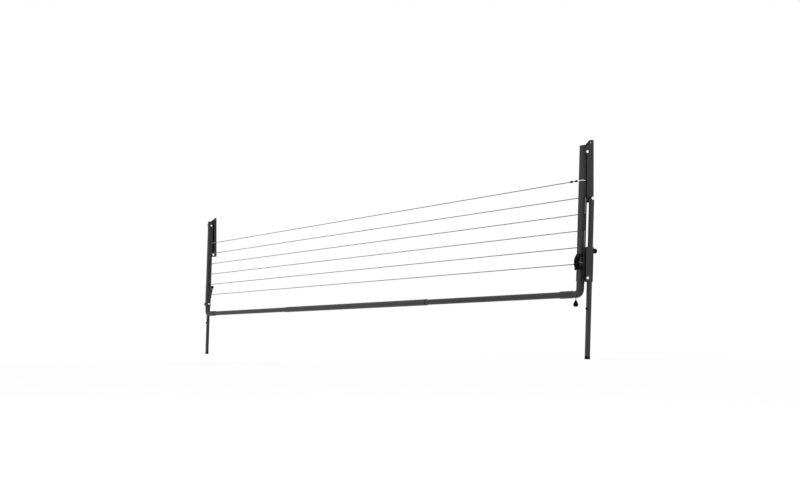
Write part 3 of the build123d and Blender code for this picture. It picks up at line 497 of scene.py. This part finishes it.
def outer_x(node):
    """How far a right-hand node reaches away from the rack's middle."""
    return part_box(node)[1][0]


def fixing(node, side, seat_x, tail_x, head_radius, shank_radius):
    """One bolt or nut in place of a CAD node.

    seat_x is where its head sits and tail_x where its shank ends, on the right-hand side.
    """
    outward = ALONG_WALL * math.copysign(1, seat_x - tail_x)
    start = middle(node)
    start.x = seat_x
    length = abs(seat_x - tail_x)
    stations = [(-length, 0.0, round_ring), (-length, shank_radius, round_ring),
                (0.0, shank_radius, round_ring)]
    stations += head_stations(head_radius)
    if side == "left":
        start.x = -start.x
        outward = -outward
    suffix = f"_{side}" if not node.startswith(side) else ""
    piece = turned(f"{node}_turned{suffix}", stations, start, outward, TURNED_STEEL)
    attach(piece, BODY_OF[node])
    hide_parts(node)


HEAD_R = 4.6 * MM
BRACE_HEAD_R = 5.4 * MM
ARM_BOLT_R = 4.0 * MM
BOLT_R = 3.0 * MM
NUT_GRIP = 1.0 * MM        # the nuts' bosses reach this far back over their bolts
ARM_HALF = 10.0 * MM
NUT_GAP = 0.3 * MM
BRACKET_IN = 12.8 * MM     # from the arm's middle to the bracket's inboard face
ARM_NUT_X = ARM_X - ARM_HALF - NUT_GAP
BRACKET_IN_X = ARM_X - BRACKET_IN
ARM_BOLT_X = outer_x("arm_pivot_bolts") - HEAD
BRACE_BOLT_X = outer_x("brace_pivot_bolts") - HEAD
CARRIAGE_BOLT_X = outer_x("right_carriage_pivot_bolt") - HEAD
CARRIAGE_BOLT_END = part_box("right_carriage_pivot_bolt")[0][0]
for side in ("right", "left"):
    fixing("arm_pivot_bolts", side, ARM_BOLT_X, ARM_NUT_X, HEAD_R, ARM_BOLT_R)
    fixing("arm_pivot_nuts", side, ARM_NUT_X, ARM_NUT_X + NUT_GRIP, HEAD_R, ARM_BOLT_R)
    fixing("brace_pivot_bolts", side, BRACE_BOLT_X, BRACKET_IN_X, BRACE_HEAD_R, BOLT_R)
    fixing("brace_pivot_nuts", side, BRACKET_IN_X, BRACKET_IN_X + NUT_GRIP, BRACE_HEAD_R, BOLT_R)
    fixing(f"{side}_carriage_pivot_bolt", side, CARRIAGE_BOLT_X, CARRIAGE_BOLT_END, HEAD_R, BOLT_R)
    fixing("carriage_pivot_nuts", side, ARM_X - ARM_HALF, ARM_X + ARM_HALF, HEAD_R, BOLT_R)

# ---- spacer sleeves: they cover the carriage pivot bolts inside the open channels ----------
CARRIAGE_SHEET = 1.2 * MM
SLEEVE_R = 4.2 * MM
SLEEVE_BORE = BOLT_R + 0.05 * MM
for side, sign in (("right", 1), ("left", -1)):
    near, far = sorted(abs(corner[0]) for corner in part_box(f"{side}_carriage"))
    start = middle(f"{side}_carriage_pivot_bolt")
    start.x = sign * (near + CARRIAGE_SHEET)
    length = far - near - 2 * CARRIAGE_SHEET
    stations = [(0.0, SLEEVE_BORE, round_ring), (0.0, SLEEVE_R, round_ring),
                (length, SLEEVE_R, round_ring), (length, SLEEVE_BORE, round_ring)]
    axis = sign * ALONG_WALL
    sleeve = turned(f"{side}_pivot_sleeve", stations, start, axis, MATERIALS["nylon"], closed=True)
    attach(sleeve, BODY_OF[f"{side}_carriage_pivot_bolt"])

# ---- the cord: a NURBS route through part.py's points, and a twisted three-strand skin -----
CORD_R = 1.5 * MM
LINES = [(85.5 + 49.2 * row) * MM for row in range(6)]      # below the arm pivot, along the arm
LOOP_X = ARM_X + 12.7 * MM
WRAP_Y = -11.9 * MM
HOOK_Y = -11.4 * MM
INSIDE_Y = -4.9 * MM
CAM_X = ARM_X - 5.0 * MM
TAIL_X = ARM_X - 18.2 * MM
EASE = 6.0 * MM            # a line stays straight up to this far from its turn round an arm
HOOK_IN = 18.0 * MM        # the cord starts inside the near ferrule, on the hook's line
SPLINE_STEPS = 12


def line_route():
    """The clothesline's control points, from the right end of line 1 to the tail.

    They are chosen in the arm's leaning frame, along the wall, towards it and up the arm.
    """
    points = [(ARM_X - HOOK_IN, HOOK_Y, -LINES[0])]
    for row, down in enumerate(LINES):
        side = -1 if row % 2 == 0 else 1
        points += [(side * (LOOP_X - EASE), 0, -down), (side * LOOP_X, 0, -down)]
        if row < len(LINES) - 1:
            under = LINES[row + 1]
            points += [(side * LOOP_X, 0, -down - EASE), (side * LOOP_X, 0, -under + EASE),
                       (side * LOOP_X, 0, -under), (side * (LOOP_X - EASE), 0, -under)]
    points += [
        (LOOP_X, WRAP_Y, -327.7 * MM),
        (CAM_X, WRAP_Y, -326.7 * MM),
        (CAM_X, WRAP_Y, -349.5 * MM),
        (ARM_X - 1.5 * MM, INSIDE_Y, -361.5 * MM),
        (ARM_X, INSIDE_Y, -385.5 * MM),
        (ARM_X, 0, -402.6 * MM),
        (ARM_X - 5.0 * MM, 0, -416.6 * MM),
        (ARM_X - 14.5 * MM, 0, -422.6 * MM),
        (TAIL_X, 0, -428.1 * MM),
        (TAIL_X, 0, -432.3 * MM),
    ]
    return [ARM_PIVOT + ALONG_WALL * x + WALLWARD * y + UP * z for x, y, z in points]


def spline_points(points):
    """Points along the smooth NURBS spline that has these control points."""
    curve = bpy.data.curves.new("route", "CURVE")
    curve.dimensions = "3D"
    curve.resolution_u = SPLINE_STEPS
    spline = curve.splines.new("NURBS")
    spline.points.add(len(points) - 1)
    for point, place in zip(spline.points, points):
        point.co = (*place, 1)
    spline.order_u = 3
    spline.use_endpoint_u = True
    route = bpy.data.objects.new("route", curve)
    mesh = bpy.data.meshes.new_from_object(route)
    places = np.array([vertex.co[:] for vertex in mesh.vertices])
    bpy.data.objects.remove(route)
    bpy.data.curves.remove(curve)
    bpy.data.meshes.remove(mesh)
    return places


LAY = 24.0 * MM            # length of one full twist
RING_STEP = 2.2 * MM
RING_SIDES = 12
STRANDS = 3
GROOVE_DEPTH = 0.12        # of the cord's radius
SAME_STATION = 1e-7        # two spline points nearer than this are one


def twisted_cord(name, places, material):
    """A tube of three laid strands along a route, with its grooves marked for the material's painted shade."""
    lengths = np.linalg.norm(np.diff(places, axis=0), axis=1)
    places = places[np.concatenate(([True], lengths > SAME_STATION))]
    lengths = np.linalg.norm(np.diff(places, axis=0), axis=1)
    along = np.concatenate(([0.0], np.cumsum(lengths)))
    count = int(along[-1] / RING_STEP) + 1
    stations = np.linspace(0.0, along[-1], count)
    centres = np.stack([np.interp(stations, along, places[:, axis]) for axis in range(3)], axis=1)
    tangents = np.gradient(centres, axis=0)
    tangents /= np.linalg.norm(tangents, axis=1)[:, None]
    first = np.empty_like(tangents)
    reference = np.array(WALLWARD)
    for index, tangent in enumerate(tangents):
        reference = reference - tangent * reference.dot(tangent)
        reference /= np.linalg.norm(reference)
        first[index] = reference
    second = np.cross(tangents, first)
    turns = np.linspace(0, 2 * math.pi, RING_SIDES, endpoint=False)
    crown = 0.5 - 0.5 * np.cos(STRANDS * turns)
    groove = (1.0 - crown) ** 2
    reach = CORD_R * (1.0 - GROOVE_DEPTH * groove)
    angle = (turns[None, :] + 2 * math.pi * stations[:, None] / LAY)[..., None]
    offsets = first[:, None, :] * np.cos(angle) + second[:, None, :] * np.sin(angle)
    verts = (centres[:, None, :] + offsets * reach[None, :, None]).reshape(-1, 3)
    ring = np.arange(count - 1)[:, None] * RING_SIDES
    side = np.arange(RING_SIDES)[None, :]
    following = (side + 1) % RING_SIDES
    faces = np.stack([ring + side, ring + following, ring + following + RING_SIDES,
                      ring + side + RING_SIDES], axis=-1).reshape(-1, 4)
    end_faces = [list(range(RING_SIDES))[::-1],
                 list(range((count - 1) * RING_SIDES, count * RING_SIDES))]
    mesh = bpy.data.meshes.new(name)
    mesh.from_pydata(verts.tolist(), [], faces.tolist() + end_faces)
    mesh.polygons.foreach_set("use_smooth", [True] * len(mesh.polygons))
    mark = mesh.attributes.new(GROOVE, "FLOAT", "POINT")
    mark.data.foreach_set("value", np.tile(groove, count))
    mesh.materials.append(material)
    piece = bpy.data.objects.new(name, mesh)
    bpy.context.scene.collection.objects.link(piece)
    return piece


line = twisted_cord("twisted_clothesline", spline_points(line_route()), MATERIALS["cord"])
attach(line, BODY_OF["clothesline"])
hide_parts("clothesline")

# ---- crimped ferrules on line 1 ------------------------------------------------------------
FERRULE_R = 3.2 * MM
FERRULE_HALF = 3.6 * MM
CRIMPS = 3
CRIMP_DEPTH = 0.55 * MM
CRIMP_STEPS = 6
FERRULES = (("near", 16.5 * MM), ("far", 38.3 * MM))        # name, distance inboard of the arm
for label, inboard in FERRULES:
    centre = ARM_PIVOT + ALONG_WALL * (ARM_X - inboard) + WALLWARD * HOOK_Y - UP * LINES[0]
    stations = [(-FERRULE_HALF, CORD_R, round_ring)]
    for step in range(CRIMP_STEPS * CRIMPS + 1):
        share = step / (CRIMP_STEPS * CRIMPS)
        squeeze = 0.5 - 0.5 * math.cos(2 * math.pi * CRIMPS * share)
        along = FERRULE_HALF * (2 * share - 1)
        stations.append((along, FERRULE_R - CRIMP_DEPTH * squeeze, round_ring))
    stations.append((FERRULE_HALF, CORD_R, round_ring))
    black = MATERIALS["black_plastic"]
    ferrule = turned(f"line_ferrule_{label}", stations, centre, ALONG_WALL, black, closed=True)
    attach(ferrule, BODY_OF["line_ferrules"])
    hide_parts("line_ferrules")

bpy.context.view_layer.update()
